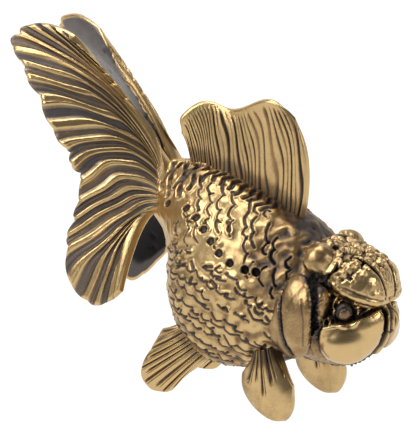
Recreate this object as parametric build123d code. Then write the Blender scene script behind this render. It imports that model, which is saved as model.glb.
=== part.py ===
from build123d import *
import os
from math import cos, pi, radians, sin, sqrt

import numpy as np

# Cast brass goldfish that stands nose down on its four lower fins.
# Millimetres. +X is the way the fish faces, +Y its left, +Z up, floor at Z 0.
# "Along", "out" and "over" are the fish's own directions: along the body from the tail
# root to the snout, out from the middle plane, and over the back.

# Stance
nose_down = 23.0            # degrees between the body's length and the floor
tail_root_lift = 29.1       # tail root's middle above the floor
foot_flat = 0.35            # ground off the tips of the four fins that it stands on

# Body casting
body_length = 30.0          # tail root to neck seam
body_height = 26.8          # back to belly at the fullest place
body_width = 21.2
tail_root_height = 9.2
tail_root_width = 5.2
neck_height = 18.6
neck_width = 17.6
neck_over = -1.4            # neck's middle, over the tail root's middle
pit_radius = 0.65           # drilled pits along each flank
pit_depth = 0.45

# Head casting
head_length = 11.0          # neck seam to snout
head_height = 17.4
head_width = 17.8
head_over = -1.2            # its middle, over the tail root's middle
spigot_radius = 4.0         # on the head, let into the body
spigot_length = 5.0
cheek_length = 7.4
cheek_width = 10.8
cheek_height = 8.0
lip_length = 3.8
lip_width = 5.0
lip_height = 4.6
lip_fold_length = 2.4       # the fold of skin round the lips
lip_fold_width = 7.8
lip_fold_height = 7.4
eye_ring_radius = 1.65
eye_ring_wire = 0.45

# Eye beads
eye_radius = 1.25
eye_sink = 0.35             # bead's middle under the head's surface
eye_stem_radius = 0.5
eye_stem_length = 2.4

# Hood, the soft growth over an adult fish's head
hood_length = 12.6
hood_width = 12.0
hood_height = 9.0
hood_lobe_size = 4.4
hood_brow_length = 7.6
hood_brow_width = 7.2
hood_brow_height = 5.4

# Gill covers
gill_length = 7.2
gill_height = 12.2
gill_thickness = 6.0
gill_along = 1.1            # plate's middle in front of the neck seam
gill_inset = 1.2            # plate's middle inside the neck's flank
gill_over = -1.5
gill_rim_step = 1.5         # how far the thin rear rim shows behind the plate
gill_rim_drop = 0.5         # how far the rim lies under the plate's face

# Fins
fin_root_thickness = 1.8
fin_rim_thickness = 1.0
fin_sink = 1.0              # how far a fin's root starts inside the body, before it is cut
tail_root_thickness = 1.6
tail_rim_thickness = 1.2
tail_pleats = 21            # ridges on each tail half's outer face
pleat_depth = 0.4
tail_length = 30.0
tail_spread = 10.5          # middle plane to the outermost ray
tail_drop = 17.5            # lower lobe's tip under the tail root's middle
dorsal_rear = 3.0           # rear end of its root, from the tail root
dorsal_length = 19.5        # along its root
dorsal_height = 21.3        # its peak over the tail root's middle
dorsal_wave = 1.6
pectoral_behind_neck = 2.6
pectoral_out = 6.4
pectoral_root_width = 2.8
pectoral_reach = 8.6
pectoral_flare = 0.8
pelvic_behind_pectoral = 11.4
pelvic_out = 4.2
pelvic_root_width = 6.5
pelvic_reach = 8.6
pelvic_flare = 1.8

# Joints between the castings
joint_clearance = 0.05      # all round each peg, filled by the braze
tail_seam = 0.15            # from the middle plane to each tail half
peg_radius = 0.75
peg_depth = 3.0             # into the body or the head
peg_head = 1.4              # up into the fin
hood_peg_head = 0.9
tail_tenon_width = 1.0
tail_tenon_height = 5.0
tail_tenon_depth = 4.0
tail_tenon_head = 1.5

sides = (1, -1)             # left and right

# Shares of the body's length, height and width at the rings between the tail root and the
# neck: place, middle over the tail root, height, width.
body_ring_shares = (
    (0.12, -0.008, 0.493, 0.434),
    (0.25, -0.090, 0.739, 0.708),
    (0.42, -0.164, 0.933, 0.925),
    (0.60, -0.194, 1.000, 1.000),
    (0.77, -0.164, 0.933, 0.962),
    (0.90, -0.108, 0.806, 0.896),
)

# Shares of the body's length and height at each pit of the flank: place, over the tail root.
pit_shares = (
    (0.117, 0.010), (0.247, 0.090), (0.327, 0.095), (0.400, 0.078), (0.467, 0.055),
    (0.537, 0.032), (0.610, 0.022), (0.693, 0.036), (0.747, 0.055),
)

# Places in the head, in shares of its length and of half its width and height.
cheek_shares = (0.61, 0.28, -0.15)
mouth_shares = (0.85, 0.00, 0.28)
lip_fold_shares = (0.88, 0.00, 0.14)
eye_shares = (0.55, 0.73, 0.39)
crown_shares = (0.26, 0.00, 0.67)
lobe_shares = (-0.14, 0.47, 0.83)
brow_shares = (0.50, 0.23, 0.68)
hood_peg_shares = (0.14, 0.50)
gill_peg_share = 0.37           # of the plate's thickness, out from its middle

# Rays of one tail half, from its top edge round to its front lower edge. Each has its
# middle and its tip, in shares of the tail's length, spread and drop.
tail_ray_shares = (
    ((-0.380, 0.155, 0.585), (-0.690, 0.340, 0.810)),
    ((-0.397, 0.200, 0.580), (-0.868, 0.415, 0.785)),
    ((-0.405, 0.250, 0.550), (-0.975, 0.560, 0.585)),
    ((-0.382, 0.300, 0.475), (-0.830, 0.800, 0.460)),
    ((-0.300, 0.300, 0.354), (-0.596, 0.905, 0.240)),
    ((-0.207, 0.330, 0.223), (-0.395, 0.905, 0.005)),
    ((-0.140, 0.400, 0.051), (-0.275, 0.840, -0.240)),
    ((-0.100, 0.480, -0.149), (-0.245, 0.940, -0.571)),
    ((-0.043, 0.560, -0.326), (-0.137, 1.000, -0.914)),
    ((0.000, 0.580, -0.383), (0.047, 0.952, -1.000)),
    ((0.060, 0.520, -0.349), (0.137, 0.857, -0.771)),
)
# The left half's lower lobe hangs lower and closer in. These are its last four rays.
left_lobe_ray_shares = (
    ((-0.100, 0.440, -0.170), (-0.270, 0.800, -0.850)),
    ((-0.060, 0.480, -0.400), (-0.150, 0.762, -1.230)),
    ((-0.015, 0.480, -0.420), (-0.035, 0.714, -1.020)),
    ((0.035, 0.450, -0.350), (0.030, 0.667, -0.740)),
)
tail_root_top_share = 0.85      # of half the tail root's height, at the top edge
tail_root_low_share = -0.75     # and at the front lower edge
pleat_start_share = 0.15        # of a ray's length, where its pleat starts
pleat_full_share = 0.50         # and where it has its full depth
pleat_wander_share = 0.007      # how unevenly the pleats are spaced
pleat_wander_waves = 5

# Rays of the back fin, from its front edge to its rear corner: the root's place in shares
# of its length, then middle and tip in shares of its length and height, then the wave.
dorsal_ray_shares = (
    (1.00, (0.85, 0.746), (0.60, 0.967), 0.0),
    (0.85, (0.67, 0.728), (0.41, 1.000), -0.5),
    (0.64, (0.46, 0.667), (0.24, 0.860), 0.1),
    (0.44, (0.26, 0.582), (0.07, 0.732), 0.8),
    (0.23, (0.07, 0.535), (-0.11, 0.700), 0.4),
    (0.09, (-0.06, 0.479), (-0.20, 0.573), -0.6),
    (0.00, (-0.11, 0.390), (-0.21, 0.470), -1.0),
)
dorsal_peg_shares = (0.24, 0.76)

# Rays of the fins that it stands on. Each tip is in shares of the fin's reach forwards, of
# its flare outwards, and of its root's own height above the floor.
pectoral_ray_shares = (
    (-0.35, 0.50, 0.71), (-0.32, 0.87, 0.46), (-0.17, 1.00, 0.24), (0.07, 1.00, 0.07),
    (0.40, 1.00, 0.00), (0.61, 0.87, 0.25), (0.60, 0.50, 0.65),
)
pelvic_ray_shares = (
    (-0.57, 0.28, 1.36), (-0.78, 0.67, 0.88), (-0.92, 0.94, 0.55), (-0.94, 1.06, 0.28),
    (-0.80, 1.06, 0.08), (-0.59, 1.00, 0.00), (-0.35, 0.78, 0.16),
)
leg_bow_share = 0.30            # of the flare, by which a leg fin's middle bows out


def at(along, out, over):
    """A point of the fish's own frame, placed where the fish stands. Out is + to its left."""
    tilt = radians(nose_down)
    return Vector(
        along * cos(tilt) + over * sin(tilt),
        out,
        tail_root_lift - along * sin(tilt) + over * cos(tilt),
    )


length_way = at(1, 0, 0) - at(0, 0, 0)
back_way = at(0, 0, 1) - at(0, 0, 0)
left_way = Vector(0, 1, 0)


def across(along, over=0):
    """The plane square to the body at one place along it, with its own X to the left."""
    return Plane(origin=at(along, 0, over), x_dir=left_way, z_dir=length_way)


def ring(along, over, height, width):
    """The body's outline at one place. It starts at the belly, where nothing is cut."""
    return Plane(
        origin=at(along, 0, over), x_dir=-back_way, z_dir=length_way
    ) * Ellipse(height / 2, width / 2)


def egg(centre, length, width, height):
    """An egg of these full sizes, lined up with the fish."""
    lying = Plane(origin=centre, x_dir=left_way, z_dir=length_way)
    return lying * scale(Sphere(1), by=(width / 2, height / 2, length / 2))


def rod(start, way, radius, length):
    """A round rod from start along way."""
    return Plane(origin=start, z_dir=way) * Cylinder(
        radius, length, align=(Align.CENTER, Align.CENTER, Align.MIN)
    )


def biggest(shape):
    """The largest solid of a cut shape, without the crumbs of the cut."""
    return Part() + max(shape.solids(), key=lambda solid: solid.volume)


def with_all(shape, tools):
    """The shape with each tool added in turn."""
    for tool in tools:
        shape = shape + tool
    return shape


def without(shape, tools):
    """The shape with each tool cut away in turn."""
    for tool in tools:
        shape = shape - tool
    return shape


# Body

def body_rings():
    """Place, middle, height and width of each ring from the tail root to the neck."""
    between = [
        (place * body_length, over * body_height, high * body_height, wide * body_width)
        for place, over, high, wide in body_ring_shares
    ]
    return [
        (0, 0, tail_root_height, tail_root_width),
        *between,
        (body_length, neck_over, neck_height, neck_width),
    ]


def body_blank():
    """The body before any socket is cut."""
    return loft([ring(*sizes) for sizes in body_rings()])


def ring_at(along):
    """Middle, half height and half width of the body at one place."""
    rings = np.array(body_rings())
    over, high, wide = (np.interp(along, rings[:, 0], rings[:, k]) for k in (1, 2, 3))
    return over, high / 2, wide / 2


def back_at(along):
    """The back's height over the tail root's middle."""
    over, half_height, _ = ring_at(along)
    return over + half_height


def belly_at(along, out):
    """The belly's surface at one place along and out."""
    over, half_height, half_width = ring_at(along)
    return over - half_height * sqrt(max(0, 1 - (out / half_width) ** 2))


def flank_pits(body):
    """Balls that dimple the two flanks of the body, each at the body's own surface."""
    balls = []
    for place, over_share in pit_shares:
        middle = at(place * body_length, 0, over_share * body_height)
        for side in sides:
            skin_point, _ = body.find_intersection_points(Axis(middle, left_way * side))[-1]
            centre = skin_point + left_way * side * (pit_radius - pit_depth)
            balls.append(Plane(origin=centre, z_dir=left_way * side) * Sphere(pit_radius))
    return balls


# Head

def on_head(along_share, out_share, over_share, side=0):
    """A place in the head, in shares of its length and of half its width and height."""
    return at(
        body_length + along_share * head_length,
        side * out_share * head_width / 2,
        head_over + over_share * head_height / 2,
    )


def before_neck():
    """All space in front of the neck seam."""
    return across(body_length) * Box(
        2 * head_width, 2 * head_height, 2 * head_length,
        align=(Align.CENTER, Align.CENTER, Align.MIN),
    )


def head_blank():
    """The snout half of an egg, with two cheek pouches, the lips and the fold round them."""
    head = egg(on_head(0, 0, 0), 2 * head_length, head_width, head_height) & before_neck()
    for side in sides:
        head += egg(on_head(*cheek_shares, side), cheek_length, cheek_width, cheek_height)
    head += egg(on_head(*lip_fold_shares), lip_fold_length, lip_fold_width, lip_fold_height)
    return head + egg(on_head(*mouth_shares), lip_length, lip_width, lip_height)


def eye_place(side):
    """The middle of the eye bead, and the way that it looks."""
    surface = on_head(*eye_shares, side)
    look = (surface - on_head(0, 0, eye_shares[2])).normalized()
    return surface - look * eye_sink, look


def eye_bead(side, clearance=0):
    """A ball on a stem, or with a clearance the seat for one."""
    centre, look = eye_place(side)
    stem = rod(centre, -look, eye_stem_radius + clearance, eye_radius + eye_stem_length + clearance)
    return Pos(centre) * Sphere(eye_radius + clearance) + stem


def eye_ring(side):
    """The raised lid round the eye bead."""
    centre, look = eye_place(side)
    return Plane(origin=centre + look * eye_sink, z_dir=look) * Torus(eye_ring_radius, eye_ring_wire)


def spigot(clearance=0):
    """The head's round spigot, or with a clearance the socket for it."""
    start = at(body_length + spigot_radius, 0, head_over)
    return rod(start, -length_way, spigot_radius + clearance, spigot_radius + spigot_length + clearance)


def gill_out():
    """A gill plate's middle, from the middle plane."""
    return neck_width / 2 - gill_inset


def gill_cover(side):
    """A bulging plate, and the thin rim that shows behind it."""
    plate = at(body_length + gill_along, side * gill_out(), gill_over)
    rim = plate - length_way * gill_rim_step - left_way * side * gill_rim_drop
    size = (gill_length, gill_thickness, gill_height)
    return egg(plate, *size) + egg(rim, *size)


def gill_peg(side, clearance=0):
    """The peg behind a gill cover, let into the head's side."""
    from_middle = gill_out() + gill_peg_share * gill_thickness
    start = at(body_length + gill_along, side * from_middle, gill_over)
    length = from_middle - head_width / 2 + peg_depth
    return rod(start, left_way * -side, peg_radius + clearance, length + clearance)


def hood_blank():
    """The crown, with two lobes behind it and two brows before it."""
    hood = egg(on_head(*crown_shares), hood_length, hood_width, hood_height)
    for side in sides:
        hood += egg(on_head(*lobe_shares, side), *[hood_lobe_size] * 3)
        hood += egg(on_head(*brow_shares, side), hood_brow_length, hood_brow_width, hood_brow_height)
    return hood


def hood_pegs(clearance=0):
    """Two pegs under the hood, let into the top of the head."""
    pegs = []
    for share in hood_peg_shares:
        top = on_head(share, 0, sqrt(1 - share ** 2)) + back_way * hood_peg_head
        pegs.append(rod(top, -back_way, peg_radius + clearance, hood_peg_head + peg_depth + clearance))
    return pegs


# Curved fins

def ray_grid(rays, count=7):
    """Points of a fin's middle sheet: a few along each ray, which bends evenly from its
    root through its middle to its tip."""
    root, middle, tip = (np.array([tuple(ray[k]) for ray in rays])[:, None] for k in range(3))
    u = np.linspace(0, 1, count)[None, :, None]
    return root * (1 - u) * (1 - 2 * u) + middle * 4 * u * (1 - u) + tip * u * (2 * u - 1)


def between_rays(grid, places):
    """A fin's points at other places across it, from 0 at the first ray to 1 at the last."""
    shares = [k / (len(grid) - 1) for k in range(len(grid))]
    curves = [
        Edge.make_spline([Vector(*point) for point in points], parameters=shares)
        for points in grid.transpose(1, 0, 2)
    ]
    return np.array([[tuple(curve @ place) for curve in curves] for place in places])


def skin(points):
    """One face of a fin, and its edges at the first ray, the last ray, the root and the rim."""
    rays = [Wire([Edge.make_spline([Vector(*point) for point in row])]) for row in points]
    face = Shell.make_loft(rays).faces()[0]
    half_across, half_along = points.shape[0] // 2, points.shape[1] // 2
    spots = points[0, half_along], points[-1, half_along], points[half_across, 0], points[half_across, -1]
    edges = [min(face.edges(), key=lambda edge: edge.distance_to(Vector(*spot))) for spot in spots]
    return face, edges


def two_faces(grid, root_thickness, rim_thickness):
    """Points of a fin's two faces, which come nearer each other from its root to its rim."""
    normal = np.cross(np.gradient(grid, axis=0), np.gradient(grid, axis=1))
    normal /= np.linalg.norm(normal, axis=2)[:, :, None]
    half = np.linspace(root_thickness, rim_thickness, grid.shape[1])[None, :, None] / 2
    return grid + normal * half, grid - normal * half


def fin_sheet(outer, inner):
    """A solid fin between the points of its two faces."""
    (front, front_edges), (back, back_edges) = skin(outer), skin(inner)
    walls = [Face.make_surface_from_curves(a, b) for a, b in zip(front_edges, back_edges)]
    return Solid(Shell([front, back, *walls])).fix()


def tail_rays(side):
    """The rays of one tail half."""
    shares = tail_ray_shares
    if side > 0:
        shares = shares[:-len(left_lobe_ray_shares)] + left_lobe_ray_shares
    rays = []
    for k, ray in enumerate(shares):
        down = k / (len(shares) - 1)
        root_share = tail_root_top_share + (tail_root_low_share - tail_root_top_share) * down
        root = at(
            fin_sink * (1 + down) / 2,
            side * (tail_root_thickness / 2 + tail_seam),
            root_share * tail_root_height / 2,
        )
        rays.append([root] + [
            at(along * tail_length, side * out * tail_spread, over * tail_drop)
            for along, out, over in ray
        ])
    return rays


def tail_half(side):
    """A tail half before it is cut at the body, pleated on its outer face."""
    even = np.linspace(0, 1, 4 * tail_pleats + 1)
    places = even + pleat_wander_share * np.sin(2 * pi * pleat_wander_waves * even)
    grid = ray_grid(tail_rays(side)[::-side])
    outer, inner = (
        between_rays(points, places)
        for points in two_faces(grid, tail_root_thickness, tail_rim_thickness)
    )
    along = np.linspace(0, 1, grid.shape[1])
    full = np.clip((along - pleat_start_share) / (pleat_full_share - pleat_start_share), 0, 1)
    valley = (1 - np.cos(2 * pi * tail_pleats * even)) / 2
    inward = (inner - outer) / np.linalg.norm(inner - outer, axis=2)[:, :, None]
    return fin_sheet(outer + inward * pleat_depth * (valley[:, None] * full)[:, :, None], inner)


def tail_tenon(side, clearance=0):
    """The flat tenon of a tail half, let into the tail root's end."""
    out = side * (tail_root_thickness / 2 + tail_seam)
    grown = 2 * clearance
    return across(-tail_tenon_head) * Pos(out, 0, 0) * Box(
        tail_tenon_width + grown,
        tail_tenon_height + grown,
        tail_tenon_head + tail_tenon_depth + clearance,
        align=(Align.CENTER, Align.CENTER, Align.MIN),
    )


def dorsal_rays():
    """The rays of the back fin."""
    rays = []
    for root, middle, tip, wave in dorsal_ray_shares:
        foot = dorsal_rear + root * dorsal_length
        rays.append([
            at(foot, 0, back_at(foot) - fin_sink),
            at(dorsal_rear + middle[0] * dorsal_length, wave * dorsal_wave / 3, middle[1] * dorsal_height),
            at(dorsal_rear + tip[0] * dorsal_length, wave * dorsal_wave, tip[1] * dorsal_height),
        ])
    return rays


def dorsal_pegs(clearance=0):
    """Two pegs under the back fin."""
    pegs = []
    for share in dorsal_peg_shares:
        foot = dorsal_rear + share * dorsal_length
        top = at(foot, 0, back_at(foot) + peg_head)
        pegs.append(rod(top, -back_way, peg_radius + clearance, peg_head + peg_depth + clearance))
    return pegs


def leg_rays(side, along, out, root_width, reach, flare, ray_shares):
    """The rays of a fin that reaches from the belly down to the floor."""
    rays = []
    middle = at(along, side * out, belly_at(along, out))
    for k, (forward, outward, height) in enumerate(ray_shares):
        place = along + root_width * (k / (len(ray_shares) - 1) - 1 / 2)
        root = at(place, side * out, belly_at(place, out) + fin_sink)
        end = Vector(
            middle.X + forward * reach,
            middle.Y + side * outward * flare,
            height * middle.Z - foot_flat,
        )
        bow = Vector(0, side * flare * leg_bow_share, 0)
        rays.append([root, (root + end) / 2 + bow, end])
    return rays


def leg_peg(rays, clearance=0):
    """The peg of a lower fin, in line with its middle ray."""
    root, middle, _ = rays[len(rays) // 2]
    way = (root - middle).normalized()
    start = root - way * (fin_sink + peg_head)
    return rod(start, way, peg_radius + clearance, fin_sink + peg_head + peg_depth + clearance)


def above_floor():
    """All space over the floor."""
    span = 4 * (body_length + tail_length)
    return Box(span, span, span, align=(Align.CENTER, Align.CENTER, Align.MIN))


def make_fish():
    """Every casting, in its place, by name."""
    body, head = body_blank(), head_blank()
    parts, sockets, head_sockets = {}, [spigot(joint_clearance), *flank_pits(body)], []
    for side in sides:
        head_sockets += [eye_bead(side, joint_clearance), gill_peg(side, joint_clearance)]
        head += eye_ring(side)
    skull = head
    for side, name in zip(sides, ("left", "right")):
        parts["eye_" + name] = eye_bead(side)
        cover = biggest(gill_cover(side) - body - skull)
        parts["gill_cover_" + name] = cover + gill_peg(side)

        parts["tail_fin_" + name] = biggest(tail_half(side) - body) + tail_tenon(side)
        sockets.append(tail_tenon(side, joint_clearance))

        pectoral_along = body_length - pectoral_behind_neck
        for fin, *sizes in (
            ("pectoral", pectoral_along, pectoral_out, pectoral_root_width,
             pectoral_reach, pectoral_flare, pectoral_ray_shares),
            ("pelvic", pectoral_along - pelvic_behind_pectoral, pelvic_out, pelvic_root_width,
             pelvic_reach, pelvic_flare, pelvic_ray_shares),
        ):
            rays = leg_rays(side, *sizes)
            leaf = fin_sheet(*two_faces(ray_grid(rays), fin_root_thickness, fin_rim_thickness))
            leaf = without(leaf & above_floor(), [body, skull, cover])
            parts[f"{fin}_fin_{name}"] = biggest(leaf) + leg_peg(rays)
            sockets.append(leg_peg(rays, joint_clearance))

    back_fin = fin_sheet(*two_faces(ray_grid(dorsal_rays()), fin_root_thickness, fin_rim_thickness))
    parts["dorsal_fin"] = with_all(biggest(back_fin - body), dorsal_pegs())
    sockets += dorsal_pegs(joint_clearance)

    covers = [parts["gill_cover_left"], parts["gill_cover_right"]]
    parts["hood"] = with_all(biggest(without(hood_blank(), [body, skull, *covers])), hood_pegs())
    head_sockets += hood_pegs(joint_clearance)

    parts["body"] = without(body, sockets)
    parts["head"] = without(skull, head_sockets) + spigot()
    return parts


def stand(parts):
    """Moves the fish so that the origin is under the middle of its box, on the floor."""
    box = Compound([solid for part in parts.values() for solid in part.solids()]).bounding_box()
    return {name: Pos(-box.center().X, -box.center().Y, 0) * part for name, part in parts.items()}


if __name__ == "__main__":
    os.makedirs("parts", exist_ok=True)
    for name, part in stand(make_fish()).items():
        export_step(part, f"parts/{name}.step")
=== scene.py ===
from math import cos, pi, radians, sin, sqrt

import bpy
import numpy as np
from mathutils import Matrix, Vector


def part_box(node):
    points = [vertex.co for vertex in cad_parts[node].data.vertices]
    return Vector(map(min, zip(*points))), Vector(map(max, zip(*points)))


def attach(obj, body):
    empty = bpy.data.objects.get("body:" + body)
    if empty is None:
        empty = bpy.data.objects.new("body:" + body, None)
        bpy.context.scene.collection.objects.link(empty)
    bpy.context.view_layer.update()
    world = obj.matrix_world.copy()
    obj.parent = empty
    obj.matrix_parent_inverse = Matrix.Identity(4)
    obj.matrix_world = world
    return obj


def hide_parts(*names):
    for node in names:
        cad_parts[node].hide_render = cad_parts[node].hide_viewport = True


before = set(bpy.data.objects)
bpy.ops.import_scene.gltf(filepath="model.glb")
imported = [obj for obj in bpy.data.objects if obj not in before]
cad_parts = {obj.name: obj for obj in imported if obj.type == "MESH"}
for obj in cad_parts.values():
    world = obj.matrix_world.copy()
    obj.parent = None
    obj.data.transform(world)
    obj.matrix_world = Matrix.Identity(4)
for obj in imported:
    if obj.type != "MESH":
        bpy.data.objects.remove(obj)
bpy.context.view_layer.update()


# Body. One solid brass casting, deepest a little behind the gills, that tapers to the tail
# root. The scales are chased in by hand with a curved punch and the pits along each flank are
# drilled, then the brass is blackened all over and its heights are rubbed bright again.

mm = 0.001
nose_down = radians(23)
tail_root_lift = 29.1
body_length = 30.0
body_height = 26.8
body_width = 21.2
tail_root_height = 9.2
tail_root_width = 5.2
neck_height = 18.6
neck_width = 17.6
neck_over = -1.4
neck_roll = 1.0             # the neck's edge rolls in over this length, into the head
root_roll = 1.4             # and the tail root's edge over this, between the tail halves
body_ring_shares = (
    (0.12, -0.008, 0.493, 0.434),
    (0.25, -0.090, 0.739, 0.708),
    (0.42, -0.164, 0.933, 0.925),
    (0.60, -0.194, 1.000, 1.000),
    (0.77, -0.164, 0.933, 0.962),
    (0.90, -0.108, 0.806, 0.896),
)
pit_shares = (
    (0.117, 0.010), (0.247, 0.090), (0.327, 0.095), (0.400, 0.078), (0.467, 0.055),
    (0.537, 0.032), (0.610, 0.022), (0.693, 0.036), (0.747, 0.055),
)
pit_radius = 0.62
pit_depth = 0.50
pit_lip = 0.07
flank_chains = 15           # rows of scales that run down each flank
flank_row = 2.05            # between them
flank_scale = 2.25          # one scale's length along its row
belly_rows = 13             # rows that run along the lower flank and belly
belly_row = 1.45
belly_scale = 1.75
scale_line = 0.140          # half width of a punched line
scale_cut = 0.15            # and its depth
stray_punches = (           # along, down the flank, turned and long
    (8.6, 15.6, 0.9, 1.4), (10.8, 17.4, -0.7, 1.7), (12.9, 16.4, 0.7, 1.1), (12.2, 10.2, 0.5, 1.1),
    (15.3, 8.7, 0.8, 1.4), (9.4, 10.4, -0.4, 1.1), (7.2, 12.4, 1.2, 1.0), (15.6, 15.2, -0.5, 1.0),
    (13.8, 18.6, 1.4, 0.9), (17.6, 16.9, 0.2, 1.0),
)
comb_teeth = 11             # short folds beside the back fin
comb_pitch = 1.38
root_folds = 5              # long ones on the tail root
fold_pitch = 1.12
shoulder_lumps = 46
relief_cap = 0.30           # nothing stands further out of the body than this
rear_draw = 0.85            # how far the lower rear flank is drawn in
nape_draw = 1.6             # the nape under the hood
side_draw = 0.34            # and the widest line, so that its relief stays within the body's width
brass = (0.615, 0.430, 0.190)
dull_brass = (0.5289, 0.3698, 0.1862)
brown_brass = (0.2706, 0.1720, 0.0798)
# The patina's colour and the black of the cuts also colour the painted shade.
patina_and_shade = (0.092, 0.074, 0.064)
cut_and_shade_black = (0.014, 0.012, 0.012)
slate_dark = (0.085, 0.083, 0.090)
slate_pale = (0.170, 0.165, 0.170)

body_low, body_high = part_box("body")
middle_y = (body_low.y + body_high.y) / 2 / mm
tail_root_x = body_low.x / mm + tail_root_height / 2 * sin(nose_down)


def at(along, out, over):
    """Points in the fish's own directions, placed where the fish stands, in millimetres."""
    along, out, over = np.broadcast_arrays(along, out, over)
    return np.stack([
        tail_root_x + along * cos(nose_down) + over * sin(nose_down),
        middle_y + out,
        tail_root_lift - along * sin(nose_down) + over * cos(nose_down),
    ], axis=-1)


def flowing(knots, values, places):
    """A smooth curve through values at the knots, read at other places."""
    knots, values = np.asarray(knots, float), np.asarray(values, float)
    gaps = np.diff(knots)
    ties, pulls = np.eye(len(knots)), np.zeros_like(values)
    for k in range(1, len(knots) - 1):
        ties[k, k - 1:k + 2] = gaps[k - 1], 2 * (gaps[k - 1] + gaps[k]), gaps[k]
        pulls[k] = 6 * (
            (values[k + 1] - values[k]) / gaps[k] - (values[k] - values[k - 1]) / gaps[k - 1]
        )
    bends = np.linalg.solve(ties, pulls.reshape(len(knots), -1)).reshape(values.shape)
    k = np.clip(np.searchsorted(knots, places) - 1, 0, len(gaps) - 1)
    shape = (-1,) + (1,) * (values.ndim - 1)
    gap, before = gaps[k].reshape(shape), (places - knots[k]).reshape(shape)
    after = gap - before
    return (
        (bends[k] * after ** 3 + bends[k + 1] * before ** 3) / (6 * gap)
        + (values[k] / gap - bends[k] * gap / 6) * after
        + (values[k + 1] / gap - bends[k + 1] * gap / 6) * before
    )


def ease(low, high, x):
    """0 below low, 1 above high, and smooth between them."""
    t = np.clip((x - low) / (high - low), 0, 1)
    return t * t * (3 - 2 * t)


def line(distance, width):
    """1 on a drawn line, fading over its width."""
    return np.exp(-(distance / width) ** 2)


def from_path(across, down, path, closed=False):
    """Distance from a path drawn on a surface, and from a closed one the distance inside it,
    less than nothing outside."""
    path = np.asarray(path, float)
    start, way = (path, np.roll(path, -1, 0) - path) if closed else (path[:-1], np.diff(path, axis=0))
    spot = np.stack([across, down], -1)[..., None, :]
    share = np.clip(((spot - start) * way).sum(-1) / (way ** 2).sum(-1), 0, 1)
    distance = np.linalg.norm(spot - start - share[..., None] * way, axis=-1).min(-1)
    if not closed:
        return distance
    end = np.roll(start, -1, 0)
    level = down[..., None]
    passes = (start[:, 1] <= level) != (end[:, 1] <= level)
    rise = np.where(way[:, 1] == 0, 1e-9, way[:, 1])
    passes &= across[..., None] < start[:, 0] + (level - start[:, 1]) * way[:, 0] / rise
    return np.where(passes.sum(-1) % 2 == 1, distance, -distance)


def blurred(field, rounds):
    """The field smoothed over its neighbours. It joins up from its last column to its first."""
    for _ in range(rounds):
        field = (np.roll(field, 1, 1) + np.roll(field, -1, 1) + 2 * field) / 4
        padded = np.pad(field, ((1, 1), (0, 0)), mode="edge")
        field = (padded[:-2] + padded[2:] + 2 * field) / 4
    return field


def dips(field, rounds, depth):
    """1 where a field lies a depth or more under its surroundings, and 0 where it doesn't."""
    return np.clip((blurred(field, rounds) - field) / depth, 0, 1)


def unit(vectors):
    """The vectors at length 1."""
    return vectors / np.maximum(np.linalg.norm(vectors, axis=-1, keepdims=True), 1e-9)


def outward(rings):
    """Unit normals of a surface given as closed rings of points, pointing out of it."""
    normal = unit(np.cross(np.gradient(rings, axis=0), np.roll(rings, -1, 1) - np.roll(rings, 1, 1)))
    return normal * np.sign((normal * (rings - rings.mean(axis=(0, 1)))).sum())


def raised(rings, relief):
    """The rings moved out of their surface by a relief."""
    return rings + outward(rings) * relief[:, :, None]


def casting(name, rings, dark, shine=0, slate=0, thin=False):
    """A closed mesh through rings of points in millimetres, with its finish and painted shade at
    each point: how dark, from patina, painted shade and painted highlights, where more than 1 is
    black, how polished and how slate grey. A thin fin is zipped shut across its first and last
    rings, and anything else is closed by a fan."""
    count, around = rings.shape[:2]
    index = np.arange(count * around).reshape(count, around)
    beside = np.roll(index, -1, 1)
    quads = np.stack([index[:-1], beside[:-1], beside[1:], index[1:]], axis=-1).reshape(-1, 4)
    masks = (dark, shine, slate, 2 * (dark - 1))
    paint = np.stack([np.broadcast_to(mask, (count, around)).ravel() for mask in masks], axis=-1)
    points, paints = [rings.reshape(-1, 3)], [np.clip(paint, 0, 1)]
    faces = quads.tolist()
    for row, flip in ((0, 1), (count - 1, -1)):
        edge = index[row][::flip].tolist()
        if thin:
            faces += [[edge[-1 - k], edge[-2 - k], edge[k + 1], edge[k]] for k in range(around // 2 - 1)]
        else:
            points.append(rings[row].mean(0)[None])
            paints.append(paints[0][index[row]].mean(0)[None])
            hub = count * around + len(points) - 2
            faces += [[edge[k], edge[k - 1], hub] for k in range(around)]
    points = np.concatenate(points)
    mesh = bpy.data.meshes.new(name)
    mesh.from_pydata((points * mm).tolist(), [], faces)
    a, b, c = (points[quads[:, k]] - points.mean(0) for k in range(3))
    if (np.cross(a, b) * c).sum() < 0:
        mesh.flip_normals()
    finish_and_shade = mesh.color_attributes.new("finish_and_shade", "FLOAT_COLOR", "POINT")
    finish_and_shade.data.foreach_set("color", np.concatenate(paints).astype(np.float32).ravel())
    mesh.shade_smooth()
    mesh.update()
    piece = bpy.data.objects.new(name, mesh)
    bpy.context.scene.collection.objects.link(piece)
    return piece


def feed(socket, value):
    """Links another node's output to a socket, or else sets a number or a colour on it."""
    if isinstance(value, bpy.types.NodeSocket):
        socket.id_data.links.new(value, socket)
    else:
        socket.default_value = (*value, 1) if isinstance(value, tuple) else value


def node(tree, kind, sockets, **settings):
    """A new node of a kind, with its settings, and some of its sockets fed."""
    made = tree.nodes.new("ShaderNode" + kind)
    for key, value in settings.items():
        setattr(made, key, value)
    for key, value in sockets.items():
        feed(made.inputs[key], value)
    return made


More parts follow.
